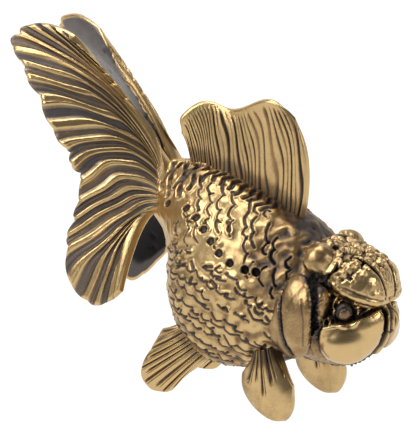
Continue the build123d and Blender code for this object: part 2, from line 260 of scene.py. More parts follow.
def rubbed_brass(name, grain=1.0):
    """Brass that was blackened and then rubbed: gold on the heights, brown on the slopes and
    near black in the cuts, with slate grey where it was left as cast. The darkness painted on
    a casting also holds painted shade, painted reflections and a painted highlight."""
    material = bpy.data.materials.new(name)
    material.use_nodes = True
    tree = material.node_tree
    shader = tree.nodes["Principled BSDF"]
    shader.inputs["Metallic"].default_value = 1.0
    place = node(tree, "TexCoord", {}).outputs["Object"]

    def noise(scale, detail):
        sockets = {"Vector": place, "Scale": scale, "Detail": detail}
        return node(tree, "TexNoise", sockets).outputs["Fac"]

    def scaled(value, factor, more):
        return node(tree, "Math", {0: value, 1: factor, 2: more}, operation="MULTIPLY_ADD").outputs[0]

    def fade(value, low, high):
        made = node(tree, "ValToRGB", {0: value})
        made.color_ramp.interpolation = "EASE"
        made.color_ramp.elements[0].position = low
        made.color_ramp.elements[1].position = high
        return made.outputs["Color"]

    def mixed(factor, a, b):
        return node(tree, "Mix", {0: factor, 6: a, 7: b}, data_type="RGBA").outputs[2]

    paint = node(tree, "Attribute", {}, attribute_name="finish_and_shade").outputs
    dark, shine, slate = node(tree, "SeparateColor", {0: paint["Color"]}).outputs
    cloud = noise(420, 4)
    darkness = scaled(cloud, 0.46, scaled(noise(3600, 3), 0.24, scaled(dark, 1.0, -0.35)))
    tone = mixed(noise(900, 2), brass, dull_brass)
    tone = mixed(fade(darkness, 0.10, 0.46), tone, brown_brass)
    tone = mixed(fade(darkness, 0.42, 0.86), tone, patina_and_shade)
    tone = mixed(fade(paint["Alpha"], 0.0, 0.5), tone, cut_and_shade_black)
    grey = mixed(noise(700, 4), slate_dark, slate_pale)
    feed(shader.inputs["Base Color"], mixed(slate, tone, grey))
    rough = scaled(slate, 0.10, scaled(shine, -0.09, scaled(darkness, 0.22, 0.35)))
    feed(shader.inputs["Roughness"], rough)
    height = scaled(cloud, 1.4, noise(5200, 2))
    bump = node(tree, "Bump", {"Strength": 0.35 * grain, "Distance": 0.03 * mm, "Height": height})
    feed(shader.inputs["Normal"], bump.outputs["Normal"])
    return material


def ring_at(along):
    """Middle, half height and half width of the body at one or more places along it."""
    rings = np.array([
        (0, 0, tail_root_height, tail_root_width),
        *((place * body_length, over * body_height, high * body_height, wide * body_width)
          for place, over, high, wide in body_ring_shares),
        (body_length, neck_over, neck_height, neck_width),
    ])
    along = np.clip(along, 0, body_length)
    over, high, wide = flowing(rings[:, 0], rings[:, 1:], along).T.squeeze()
    return over, high / 2, wide / 2


body_along = np.concatenate([
    -root_roll * np.cos(np.linspace(0, pi / 2, 14, endpoint=False)),
    np.linspace(0, body_length + neck_roll, 282),
])
body_turn = np.linspace(-pi, pi, 560, endpoint=False)
ring_over, ring_high, ring_wide = ring_at(body_along)
roll = np.sqrt(np.clip(1 - (np.minimum(body_along, 0) / root_roll) ** 2, 0.02, 1))
roll *= 1 - 0.12 * (np.maximum(body_along - body_length, 0) / neck_roll) ** 2
over_grid = ring_over[:, None] + (roll * ring_high)[:, None] * np.cos(body_turn)
out_grid = (roll * ring_wide)[:, None] * np.sin(body_turn)
along_grid = np.repeat(body_along[:, None], len(body_turn), 1)
body_rings = at(along_grid, out_grid, over_grid)
steps = np.linalg.norm(np.diff(body_rings, axis=1), axis=2)
round_grid = np.concatenate([np.zeros((len(body_along), 1)), np.cumsum(steps, axis=1)], axis=1)
round_grid -= round_grid[:, [len(body_turn) // 2]]
relief = np.zeros_like(along_grid)
darkness = np.zeros_like(along_grid)


def window(path, reach):
    """The part of the body's grid that lies within reach of a path of (along, round) points."""
    low, high = path.min(0) - reach, path.max(0) + reach
    rows, = np.nonzero((body_along > low[0]) & (body_along < high[0]))
    columns, = np.nonzero(((round_grid[rows] > low[1]) & (round_grid[rows] < high[1])).any(0))
    return np.ix_(rows, columns)


def chase(path, width, depth, burr=0.5, soot_and_shade_share=1.0):
    """Punches one line into the body, with a low burr of metal thrown up beside it."""
    part = window(np.asarray(path), 6 * width)
    distance = from_path(along_grid[part], round_grid[part], path) / width
    relief[part] -= depth * (line(distance, 1) - burr * line(distance - 2, 0.8))
    # The cut is darkened as patina, and a broad faint halo beside it is painted shade.
    shade = line(distance, 1.1) + 0.22 * line(distance, 3)
    darkness[part] = np.maximum(darkness[part], soot_and_shade_share * np.minimum(shade, 1))


def swell(along, place, radius, height):
    """Raises a soft lump on the body."""
    part = window(np.array([[along, place]]), radius)
    distance = np.hypot(along_grid[part] - along, round_grid[part] - place) / radius
    relief[part] += height * np.clip(1 - distance ** 2, 0, 1) ** 2


def bare_flank(along, place):
    """Chance that the hand left a scale out: high round the pits and on the tail's root."""
    bare = 0.92 * line(along - 12.5, 4.2) * line(place - 13.4, 2.6)
    root = 0.9 * (1 - ease(4.5, 8.0, along))
    shoulder = 0.45 * ease(18, 22, along) * (1 - ease(10, 13, place))
    return max(bare, root, shoulder, 0.11)


def garland(side, start, way, length, pitch, bulge):
    """Chases a chain of arcs from a start, all bulging to about one side, as the edges of a
    row of scales. Some arcs are left out, as the hand leaves them."""
    way = np.array(way) / np.hypot(*way)
    place, done = np.array(start, float), 0.0
    while done < length:
        chord = pitch * hand.uniform(0.66, 1.36)
        swing, missing, lean, hold = hand.uniform(size=4)
        end = place + way * chord + hand.normal(0, 0.17, 2)
        turn = hand.normal(0, 0.38)
        turned = np.array([[cos(turn), -sin(turn)], [sin(turn), cos(turn)]]) @ bulge
        reach = np.linspace(0, 1, 12)[:, None]
        arc = place + (end - place) * reach
        arc += turned * (0.50 + 0.85 * swing) * np.sin(pi * reach) ** 0.75
        arc += way * 0.16 * np.sin(2 * pi * (1.6 * reach + lean))
        arc += way * (lean - 0.5) * 0.9 * np.sin(pi * reach)
        arc = arc[int(2.6 * hold):12 - int(2.4 * swing)]
        middle = arc[len(arc) // 2]
        if missing > bare_flank(*middle) and 3.0 < middle[0] < body_length + 0.2:
            arc[:, 1] *= side
            chase(arc, scale_line * (0.80 + 0.55 * hold), scale_cut * (0.70 + 0.7 * swing))
            inside = (place + end) / 2 + 0.25 * np.array(bulge)
            swell(inside[0], side * inside[1], 0.66 * chord, 0.10 + 0.12 * lean)
        place, done = end + hand.normal(0, 0.08, 2), done + chord


hand = np.random.default_rng(11)
for side in (-1, 1):
    for chain in range(flank_chains):
        start = (2.4 + flank_row * chain + hand.normal(0, 0.15), 3.4 + hand.normal(0, 0.3))
        garland(side, start, (0.6, 1.0), 10.5, flank_scale, (-0.80, 0.25))
    for row in range(belly_rows):
        start = (4.0 + 0.8 * (row % 2), 14.0 + belly_row * row + hand.normal(0, 0.12))
        garland(side, start, (1.0, 0.05), 25.5, belly_scale, (-0.30, 0.80))

for side in (-1, 1):
    for along, place, turn, length in stray_punches:
        reach = np.array([cos(turn), side * sin(turn)]) * length / 2
        middle = np.array([along, side * place])
        chase([middle - reach, middle + reach], 0.24, 0.22, soot_and_shade_share=0.9)

for side in (-1, 1):
    for tooth in range(comb_teeth):
        along = 4.6 + comb_pitch * tooth + hand.normal(0, 0.12)
        long = 2.3 + 0.9 * hand.uniform()
        reach = np.linspace(0, 1, 9)
        stroke = np.stack([
            along - 0.5 * reach + 0.32 * np.sin(5.2 * reach + 0.6 * tooth),
            side * (1.1 + long * reach),
        ], -1)
        chase(stroke, 0.25, 0.26, soot_and_shade_share=0.75)
        swell(along + 0.66, side * (1.5 + long / 2), 1.05, 0.26)
    for fold in range(root_folds):
        along = 0.7 + fold_pitch * fold + hand.normal(0, 0.1)
        reach = np.linspace(0, 1, 14)
        stroke = np.stack([
            along + 0.34 * np.sin(6.0 * reach + 2.3 * fold) + 0.9 * reach,
            side * (1.2 + (4.6 + 1.2 * (fold % 2)) * reach),
        ], -1)
        chase(stroke, 0.27, 0.34, burr=0.7, soot_and_shade_share=0.85)
        swell(along + 0.9, side * 3.0, 1.3, 0.30)
        swell(along + 1.1, side * 4.9, 1.1, 0.24)
    for _ in range(shoulder_lumps):
        along, place = hand.uniform(19.5, 29.5), hand.uniform(2.0, 13.0)
        size, high = hand.uniform(0.7, 1.5), hand.uniform(-0.18, 0.26)
        swell(along, side * place, size, high * ease(18, 22, along))

for place, over_share in pit_shares:
    along = place * body_length
    middle, high, _ = ring_at(along)
    pit_turn = np.arccos((over_share * body_height - middle) / high)
    row = np.argmin(abs(body_along - along))
    for side in (-1, 1):
        spot = np.interp(side * pit_turn, body_turn, round_grid[row])
        part = window(np.array([[along, spot]]), 3 * pit_radius)
        distance = np.hypot(along_grid[part] - along, round_grid[part] - spot) / pit_radius
        bowl = np.sqrt(np.clip(1 - distance ** 2, 0, 1))
        keep = ease(1.0, 1.5, distance)
        relief[part] = relief[part] * keep - pit_depth * bowl + pit_lip * line(distance - 1.2, 0.2)
        darkness[part] = np.maximum(darkness[part] * keep, 1.15 * (1 - ease(0.84, 1.12, distance)))

lumps = blurred(hand.normal(size=relief.shape), 26)
relief += 0.9 * lumps * (0.45 + ease(16, 26, along_grid))
height = dips(-relief, 70, 0.16)
place_grid = abs(round_grid)
# Painted reflection: the shoulder is darkened, standing in for the dark surroundings it reflects.
painted_shoulder_reflection = 0.40 * ease(17, 24, along_grid) * (1 - ease(11, 17, place_grid))
back_soot = 0.30 * (1 - ease(2.0, 4.0, place_grid)) * ease(6, 10, along_grid)
neck_soot = 0.55 * ease(27.8, 29.8, along_grid)
# Painted shade: the body darkens towards its belly.
belly_shade = 0.04 * ease(15, 19, place_grid) + 0.16 * ease(24, 32, place_grid)
# Painted highlight: a bright patch in the middle of each flank.
flank_highlight = 0.22 * line(along_grid - 12, 6) * line(place_grid - 10.5, 5)
# The tail root is made lighter away from its top line.
root_lighter = 0.26 * (1 - ease(1.0, 4.5, along_grid)) * ease(2.5, 5.0, place_grid)
darkness = np.maximum(0.92 * darkness, 0.56 * dips(relief, 44, 0.18)) + 0.13 - 0.22 * height
# The patina is summed here with the painted shade, painted reflection and painted highlight above.
darkness += painted_shoulder_reflection + back_soot + neck_soot + belly_shade - flank_highlight - root_lighter
drawn_in = rear_draw * line(along_grid - 7.5, 5.5) * line(place_grid - 17, 7)
drawn_in += nape_draw * line(along_grid - 28.5, 3.6) * line(place_grid, 5.5)
drawn_in += side_draw * ease(8.2, 10.2, abs(out_grid))
body_rings = raised(body_rings, np.minimum(relief, relief_cap) - drawn_in)
body = casting("body_casting", body_rings, darkness, shine=0.5 * height)
body.data.materials.append(rubbed_brass("body_rubbed_brass"))
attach(body, "root")
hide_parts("body")


# Head. The front casting, with two full cheek pouches and soft lips, brazed into the body by
# a spigot. The hollows round the eyes are left black, and the cheeks are polished.

head_length = 11.0
head_height = 17.4
head_width = 17.8
head_over = -1.2
cheek_size = (7.8, 10.9, 8.4)
cheek_shares = (0.60, 0.28, -0.16)
lip_size = (3.8, 5.0, 4.6)
mouth_shares = (0.85, 0.00, 0.28)
eye_shares = (0.55, 0.73, 0.39)
head_heart = (33.0, 0.0, -1.2)

camera_distance = 375.0
pixels_per_mm = 6.92         # in the picture, at the fish's middle
picture_middle = (204.5, 217.0)
view_middle = Vector((-0.75, -0.05, 25.50))
to_camera = Vector((0.525, -0.809, 0.2656)).normalized()
right_way = Vector((0.809, 0.525, 0)).normalized()
up_way = to_camera.cross(right_way)


def in_view(x, y, z):
    """Where a spot of the head shows from the camera's place, in pixels across and down, and
    how squarely its surface faces that way. The marks are laid out as seen from the fish's
    right front, and its left side mirrors them."""
    spots = at(x, -abs(y), z) - np.array(view_middle)
    shrink = camera_distance * pixels_per_mm / (camera_distance - spots @ np.array(to_camera))
    normal = outward(at(x, y, z))
    normal[..., 1] *= -np.sign(y + 1e-9)
    faces = ease(-0.05, 0.25, normal @ np.array(to_camera))
    return (
        picture_middle[0] + shrink * (spots @ np.array(right_way)),
        picture_middle[1] - shrink * (spots @ np.array(up_way)),
        faces,
    )


def in_head(along_share, out_share, over_share, side=1):
    """A place in the head, in shares of its length and of half its width and height."""
    return (
        body_length + along_share * head_length,
        side * out_share * head_width / 2,
        head_over + over_share * head_height / 2,
    )


def bulbs(heart, turns, rounds, reach, eggs, softness):
    """Rings of points where rays from the heart leave a cluster of eggs that have grown
    together. Each egg is a middle and its full sizes along, out and over."""
    tilt = np.linspace(0.004, reach, turns)[:, None]
    turn = np.linspace(-pi, pi, rounds, endpoint=False)[None, :]
    way = np.cos(tilt), np.sin(tilt) * np.sin(turn), np.sin(tilt) * np.cos(turn)
    way = np.stack(np.broadcast_arrays(*way), -1)
    total = 0
    for middle, size in eggs:
        half = np.array(size) / 2
        a, b = way / half, (np.array(heart) - middle) / half
        square, cross, rest = (a * a).sum(-1), (a * b).sum(-1), (b * b).sum() - 1
        inside = cross ** 2 - square * rest
        leave = np.where(inside > 0, (-cross + np.sqrt(np.maximum(inside, 0))) / square, 0)
        total = total + np.exp(leave / softness)
    distance = softness * np.log(total)
    return np.array(heart) + way * distance[..., None]


cheek_outline = (
    (319, 331), (322, 328), (333, 326), (347, 323.5), (360, 320), (371, 315.5), (378, 310), (382, 309),
    (385, 314), (385.5, 323), (384, 334), (380, 345), (372, 355), (362, 362.5), (350, 366), (337, 365),
    (326, 361), (319.5, 353), (317.5, 342),
)
lip_line = ((320, 328.5), (334, 326.5), (348, 323.5), (361, 320), (372, 315.5), (380, 310))
hollow_outline = (
    (313, 292), (318, 282), (330, 280), (345, 291), (360, 299), (378, 305), (384, 307), (381, 309.5),
    (371, 316), (347, 323), (320, 328), (314, 315),
)
eye_spot = (346.0, 313.6)

head_eggs = [(in_head(0, 0, 0), (2 * head_length, head_width, head_height))]
for side in (-1, 1):
    head_eggs.append((in_head(*cheek_shares, side), cheek_size))
head_eggs.append((in_head(*mouth_shares), lip_size))
head_shape = bulbs(head_heart, 210, 400, radians(128), head_eggs, 0.22)
x, y, z = (head_shape[..., k] for k in range(3))
across, down, faces = in_view(x, y, z)
side_y = abs(y)
pebble = blurred(hand.normal(size=x.shape), 7)
fine_pebble = blurred(hand.normal(size=x.shape), 3)
cheek = from_path(across, down, cheek_outline, closed=True)
eye_hollow = from_path(across, down, hollow_outline, closed=True)
from_eye = np.hypot(across - eye_spot[0], down - eye_spot[1])
pouch = np.sqrt(1 - (1 - np.clip(cheek / 11, 0, 1)) ** 2)
on_cheek = ease(-0.6, 1.0, cheek) * faces
head_relief = 0.62 * pouch * faces - 0.36
throat = ease(338, 352, down) * faces
head_soot_and_painted_reflection = (0.55 - 0.42 * throat) * (1 - on_cheek) + 0.20
from_lip = from_path(across, down, lip_line)
lip = line(from_lip, 1.7) * faces
head_relief += 0.16 * lip
in_hollow = ease(-1.0, 4.0, eye_hollow) * faces
head_relief -= 0.40 * in_hollow
head_relief += in_hollow * (1.9 * pebble + 0.3 * fine_pebble)
head_soot_and_painted_reflection += in_hollow * (0.16 - 4.0 * pebble)
head_relief -= 0.40 * line(from_eye - 8.6, 2.2) * faces
head_relief += 0.30 * line(from_eye - 13.5, 1.8) * faces * (0.6 + 0.4 * np.sin(0.5 * across))
head_soot_and_painted_reflection += 0.8 * line(from_eye - 8.0, 3.2) * faces
lips = (1 - ease(-2.4, -0.6, cheek)) * ease(352, 364, across) * ease(288, 296, down) * faces
wrinkle = np.cos(2 * pi * (cheek + 0.35 * np.sin(0.21 * down)) / 4.6)
head_relief += lips * (0.22 + 0.17 * wrinkle)
head_soot_and_painted_reflection += lips * (-0.22 - 0.50 * wrinkle)
crease = line(cheek + 1.9, 1.5) * ease(350, 364, across) * ease(296, 304, down) * faces
head_relief -= 0.55 * crease
head_soot_and_painted_reflection += 1.1 * crease
# Painted reflection: a dark band across the cheek, below the line of its lip, stands in for the dark
# surroundings it reflects.
head_soot_and_painted_reflection += 0.42 * line(from_lip - 7.5, 3.6) * on_cheek * ease(2, 5, cheek)
left_edge = line(cheek, 1.6) * (1 - ease(318, 330, across)) * faces
head_soot_and_painted_reflection += 0.5 * left_edge
gape = line(z - 0.7 + 0.12 * side_y ** 2, 0.20) * (1 - ease(1.3, 2.2, side_y)) * ease(38, 39.5, x)
head_relief -= 0.45 * gape
head_soot_and_painted_reflection += gape
head_soot_and_painted_reflection += 0.85 * (1 - ease(30.6, 32.4, x)) + 0.95 * ease(4.2, 5.0, z)
head_relief += (0.9 - 0.5 * throat) * pebble * (1 - on_cheek) * (1 - lips)
hollow = dips(head_relief, 26, 0.30)
head_soot_and_painted_reflection = np.clip(head_soot_and_painted_reflection + 0.30 * hollow * (1 - 0.7 * on_cheek), 0, 1.15)
head_soot_and_painted_reflection -= 0.26 * on_cheek * ease(1.5, 4, cheek) + 0.5 * lip * (1 - 0.3 * ease(350, 372, across))
head_rings = raised(at(x, y, z), head_relief)
head = casting("head_casting", head_rings, head_soot_and_painted_reflection, shine=on_cheek)
head.data.materials.append(rubbed_brass("head_rubbed_brass", grain=0.45))
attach(head, "root")
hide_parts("head")


# Eyes. A small brass bead on a stem, let into a socket in each side of the head, with a black
# ring round its polished middle.

eye_radius = 1.25
eye_sink = 0.75             # from the eye's spot into the head
eye_ring = 0.98             # radius of the groove round its middle
pupil_radius = 0.84

for side, name in ((1, "left"), (-1, "right")):
    centre = np.array(in_head(*eye_shares, side))
    look = unit(centre - np.array([body_length, 0, centre[2]]))
    heart = centre - look * eye_sink
    beside = unit(np.cross((0, 0, 1.0), look))
    upright = np.cross(look, beside)
    tilt = np.linspace(0.01, pi - 0.01, 60)[:, None, None]
    turn = np.linspace(-pi, pi, 72, endpoint=False)[None, :, None]
    from_look = eye_radius * np.sin(tilt)
    ring = line(from_look - eye_ring, 0.10) * (tilt < pi / 2)
    bead = eye_radius * (1 - 0.09 * ring)
    shape = heart + bead * (
        np.cos(tilt) * look + np.sin(tilt) * (np.cos(turn) * beside + np.sin(turn) * upright)
    )
    flat = np.broadcast_to(from_look[..., 0], shape.shape[:2])
    black = 0.60 + 0.50 * ease(pupil_radius - 0.10, pupil_radius + 0.12, flat)
    eye = casting(f"eye_bead_{name}", at(*(shape[..., k] for k in range(3))), black, shine=1)
    eye.data.materials.append(rubbed_brass(f"eye_{name}_brass", grain=0.3))
    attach(eye, "root")
    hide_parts(f"eye_{name}")


# Hood. The raspberry-like growth over the head, cast by itself and pegged on. Its crown is
# beaded, and the rolls over the brows and the two lobes behind are rubbed smooth.

hood_size = (12.6, 12.0, 9.0)
crown_shares = (0.26, 0.00, 0.67)
lobe_size = (4.7, 4.7, 5.3)
lobe_shares = (-0.14, 0.47, 0.83)
collar_size = (4.4, 9.0, 4.6)
collar_shares = (-0.13, 0.00, 0.86)
brow_size = (7.6, 7.2, 5.4)
brow_shares = (0.50, 0.23, 0.68)
bead_count = 150
bead_radius = 0.19           # of a bead of the hood, as seen from the hood's middle, in radians
lobe_spot = (320.0, 258.0)
brow_band = ((334, 286), (345, 294), (358, 300), (371, 304.5), (383, 306.5), (393, 304))
brow_spot = (371.0, 281.0)

hood_eggs = [(in_head(*crown_shares), hood_size)]
for side in (-1, 1):
    hood_eggs.append((np.array(in_head(*lobe_shares, side)) - (0, 0, 0.35), lobe_size))
    hood_eggs.append((in_head(*brow_shares, side), brow_size))
hood_eggs.append((in_head(*collar_shares), collar_size))
hood_heart = np.array(in_head(*crown_shares))
hood_shape = bulbs(hood_heart, 220, 340, pi - 0.004, hood_eggs, 0.22)
x, y, z = (hood_shape[..., k] for k in range(3))
across, down, faces = in_view(x, y, z)
side_y = abs(y)
golden = pi * (3 - sqrt(5))
bead_rank = np.arange(bead_count) + 0.5
bead_height = 1 - 2 * bead_rank / bead_count
bead_turn = golden * bead_rank + hand.normal(0, 0.16, bead_count)
bead_size = hand.uniform(0.35, 1.0, bead_count)
bead_flat = np.sqrt(1 - bead_height ** 2)
bead_way = np.stack([bead_flat * np.cos(bead_turn), bead_flat * np.sin(bead_turn), bead_height])
closeness = np.tensordot(unit(hood_shape - hood_heart), bead_way, 1)
owner = closeness.argmax(2)
nearest = np.arccos(np.clip(closeness.max(2), -1, 1))
reach = bead_radius * (0.62 + 0.50 * bead_size[owner])
bead = np.sqrt(np.clip(1 - (nearest / reach) ** 2, 0, 1))
low_edge = 280 - 12 * ease(350, 362, across) + 1.8 * np.sin(0.45 * across)
beaded = 1 - ease(-3, 4, down - low_edge) * faces
beaded = beaded * ease(3.2, 4.4, z - 0.04 * (36 - x))
lobe = np.hypot((across - lobe_spot[0]) / 16, (down - lobe_spot[1]) / 18)
on_lobe = (1 - ease(0.85, 1.15, lobe)) * faces
beaded = beaded * (1 - on_lobe)
hood_relief = beaded * (0.58 * bead - 0.42)
parting = side_y - (2.85 - 0.24 * (x - 32.5))
part_line = line(parting, 0.24) * ease(31.6, 33.4, x) * ease(4.4, 6.0, z)
hood_relief -= 0.42 * part_line
hood_relief += 0.50 * line(across - brow_spot[0], 12.0) * line(down - brow_spot[1], 8.5) * faces
band = from_path(across, down, brow_band)
hood_relief += 0.16 * line(band, 3.0) * faces - 0.12 * line(band - 5.0, 1.6) * faces * ease(286, 290, down)
neck = line(lobe - 1.12, 0.10) * faces * ease(258, 266, down)
hood_relief -= 0.28 * neck
pebble = blurred(hand.normal(size=x.shape), 8)
hood_relief += 0.45 * pebble * (0.25 + beaded)
hollow, height = dips(hood_relief, 22, 0.12), dips(-hood_relief, 40, 0.14)
hood_soot = 0.88 * hollow + 0.20 * beaded - 0.40 * height + 0.10
hood_soot += 0.8 * part_line + 0.6 * neck + 1.5 * pebble * beaded
hood_soot += 0.9 * (1 - ease(1.2, 2.2, z - 0.10 * (36 - x)))
hood_soot += 0.20 * on_lobe - 0.30 * line(band, 2.6) * faces
hood_relief = np.minimum(hood_relief, 0.45) - 0.34 * ease(35, 38, x)
hood_rings = raised(at(x, y, z), hood_relief)
hood = casting("hood_casting", hood_rings, hood_soot, shine=0.8 * (1 - beaded))
hood.data.materials.append(rubbed_brass("hood_rubbed_brass", grain=0.6))
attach(hood, "root")
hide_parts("hood")


# Gill covers. A smooth bulging plate on each side of the neck, pegged to the head, with the
# edge of a thin plate under it showing as a bright crescent behind.

gill_size = (7.2, 6.0, 12.2)
gill_along = 1.1
gill_out = 7.6
gill_over = -1.5
gill_rim_step = 1.5
gill_rim_drop = 0.5
gill_blunt = 0.42            # how much wider the plate's ends are than an egg's
rim_line = ((292, 356), (285, 346), (281, 334), (279.5, 320), (279, 306), (280, 294), (284, 283))
scratch_line = ((301, 300), (303, 322), (303, 346))
front_line = ((309, 274), (312, 288), (314, 305), (314.5, 325), (315, 342), (315, 358))

for side, name in ((1, "left"), (-1, "right")):
    plate = (body_length + gill_along, side * gill_out, gill_over)
    rim = (body_length + gill_along - gill_rim_step, side * (gill_out - gill_rim_drop), gill_over)
    shape = bulbs(plate, 170, 260, pi - 0.004, [(plate, gill_size), (rim, gill_size)], 0.05)
    x, y, z = (shape[..., k] for k in range(3))
    end_share = abs(z - plate[2]) / (gill_size[2] / 2)
    blunt = end_share ** 2
    x = plate[0] - 1.0 + (x - plate[0] + 1.0) * (1 + gill_blunt * blunt * (1.35 - blunt))
    x = x - 0.36 * np.maximum(x - plate[0] - 1.4, 0)
    across, down, faces = in_view(x, y, z)
    crescent = line(from_path(across, down, rim_line), 1.7) * faces
    front = from_path(across, down, front_line) * np.where(across > 314, 0.6, 1.0)
    groove = line(front, 3.6) * faces
    scratch = line(from_path(across, down, scratch_line), 0.9) * faces
    pebble = blurred(hand.normal(size=x.shape), 4)
    gill_relief = -0.03 - 0.34 * crescent - 0.50 * groove - 0.06 * scratch
    gill_relief = gill_relief + pebble * (0.03 + 0.9 * groove + 0.3 * crescent)
    # The plate is darkened all over, partly for its patina and partly as a painted dark reflection.
    gill_soot_and_painted_shade = 0.34 + crescent + 1.05 * ease(0.25, 0.8, groove) + 0.35 * scratch + 0.25 * groove
    # Painted shade: the plate is darker at its top and bottom ends and where it turns away from the
    # camera.
    gill_soot_and_painted_shade += 0.8 * ease(0.88, 1.0, end_share) + 0.5 * (1 - faces)
    gill_soot_and_painted_shade += 1.5 * pebble * groove
    gill_rings = raised(at(x, y, z), gill_relief)
    cover = casting(f"gill_plate_{name}", gill_rings, gill_soot_and_painted_shade, shine=1 - np.clip(groove * 2, 0, 1))
    cover.data.materials.append(rubbed_brass(f"gill_{name}_brass", grain=0.45))
    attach(cover, "root")
    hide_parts(f"gill_cover_{name}")


# Tail. Two thin castings side by side, tenoned into the tail root and standing apart towards
# their rims. Their outer faces are pleated along the rays, with gold ridges, deep black
# valleys and a stepped rim. Their inner faces are left slate grey, pitted as cast.

tail_root_thickness = 1.6
tail_rim_thickness = 1.2
tail_length = 30.0
tail_spread = 10.5
tail_drop = 17.5
tail_seam = 0.15
fin_sink = 1.0
tail_pleats = 21
pleat_depth = 0.46
pleat_wander_share = 0.007
pleat_wander_waves = 5
rim_step = 0.80
cast_pits = 44              # left by the mould on each half's inner face
rough_spots = 9             # and rough bits along its front edge
tail_ray_shares = (
    ((-0.380, 0.155, 0.585), (-0.690, 0.340, 0.810)),
    ((-0.397, 0.200, 0.580), (-0.868, 0.415, 0.785)),
    ((-0.405, 0.250, 0.550), (-0.975, 0.560, 0.585)),
    ((-0.382, 0.300, 0.475), (-0.830, 0.800, 0.460)),
    ((-0.300, 0.300, 0.354), (-0.596, 0.905, 0.240)),
    ((-0.207, 0.330, 0.223), (-0.395, 0.905, 0.005)),
    ((-0.140, 0.400, 0.051), (-0.275, 0.840, -0.240)),
    ((-0.100, 0.480, -0.149), (-0.245, 0.940, -0.571)),
    ((-0.043, 0.560, -0.326), (-0.137, 1.000, -0.914)),
    ((0.000, 0.580, -0.383), (0.047, 0.952, -1.000)),
    ((0.060, 0.520, -0.349), (0.137, 0.857, -0.771)),
)
left_lobe_ray_shares = (
    ((-0.100, 0.440, -0.170), (-0.270, 0.800, -0.850)),
    ((-0.060, 0.480, -0.400), (-0.150, 0.762, -1.230)),
    ((-0.015, 0.480, -0.420), (-0.035, 0.714, -1.020)),
    ((0.035, 0.450, -0.350), (0.030, 0.667, -0.740)),
)
tail_root_top_share = 0.85
tail_root_low_share = -0.75


def fin_grid(rays, across, along, rim_notch=None):
    """Points of a fin's middle sheet, with their shares across it and along its rays. Each
    ray bends evenly from its root through its middle to its tip, and a notch in millimetres
    draws its tip back."""
    v = np.linspace(0, 1, across)
    u = np.concatenate([
        np.linspace(0, 0.94, along - 14, endpoint=False),
        0.94 + 0.06 * np.sin(np.linspace(0, pi / 2, 14)),
    ])
    fine = flowing(np.linspace(0, 1, len(rays)), np.array(rays), v)
    root, middle, tip = (fine[:, None, k] for k in range(3))

    def bent(share):
        share = share[..., None]
        return root * (1 - share) * (1 - 2 * share) + middle * 4 * share * (1 - share) + tip * share * (
            2 * share - 1)

    full = np.linalg.norm(np.diff(bent(np.repeat(u[None], across, 0)), axis=1), axis=2).sum(1)
    notch = np.zeros(across) if rim_notch is None else rim_notch(v)
    share = u[None, :] * (1 - notch / full)[:, None]
    return bent(share), v[:, None] + 0 * share, np.repeat(u[None], across, 0)


def edge_distances(grid):
    """Distance of each point of a fin's sheet from its rim, from its first ray, its last ray
    and its root, and from the nearest edge but the root."""
    along = np.linalg.norm(np.diff(grid, axis=1), axis=2)
    across = np.linalg.norm(np.diff(grid, axis=0), axis=2)
    along = np.concatenate([np.zeros((grid.shape[0], 1)), np.cumsum(along, axis=1)], axis=1)
    across = np.concatenate([np.zeros((1, grid.shape[1])), np.cumsum(across, axis=0)], axis=0)
    rim, last = along[:, -1:] - along, across[-1:] - across
    return rim, across, last, along, np.minimum(rim, np.minimum(across, last))


def fin(name, grid, thickness, outer, inner, outer_paint, inner_paint, outer_way):
    """A closed fin about its middle sheet: each face lies half the thickness from it, less
    what is cut into that face, and the edges are rounded."""
    normal = unit(np.cross(np.gradient(grid, axis=0), np.gradient(grid, axis=1)))
    normal *= np.sign((normal * outer_way).sum())
    edge = edge_distances(grid)[-1]
    round_off = np.sqrt(np.clip(1 - (1 - np.clip(edge / (thickness / 2), 0, 1)) ** 2, 0.0036, 1))
    front = grid + normal * ((thickness / 2 - outer) * round_off)[..., None]
    back = grid - normal * ((thickness / 2 - inner) * round_off)[..., None]
    rings = np.concatenate([front, back[::-1]], axis=0).transpose(1, 0, 2)
    paints = [
        np.concatenate([np.broadcast_to(a, edge.shape), np.broadcast_to(b, edge.shape)[::-1]], axis=0).T
        for a, b in zip(outer_paint, inner_paint)
    ]
    rings[..., 2] = np.maximum(rings[..., 2], 0)
    return casting(name, rings, *paints, thin=True)


even = np.linspace(0, 1, 400)
pleat_rank = tail_pleats * even
pleat_place = even + pleat_wander_share * np.sin(2 * pi * pleat_wander_waves * even)


def scalloped_rim(v):
    """How far the rim is drawn back from its round bumps, one to every second pleat."""
    phase = np.interp(v, pleat_place, pleat_rank)
    bump = abs(np.sin(pi * (phase + 0.35 * np.sin(1.7 * phase)) / 2)) ** 0.7
    small = abs(np.sin(pi * phase)) ** 0.8
    ends = ease(0.10, 0.20, v) * (1 - 0.75 * ease(0.70, 0.80, v)) * (1 - ease(0.93, 1.0, v))
    return rim_step * (0.95 * (1 - bump) + 0.30 * (1 - small)) * ends


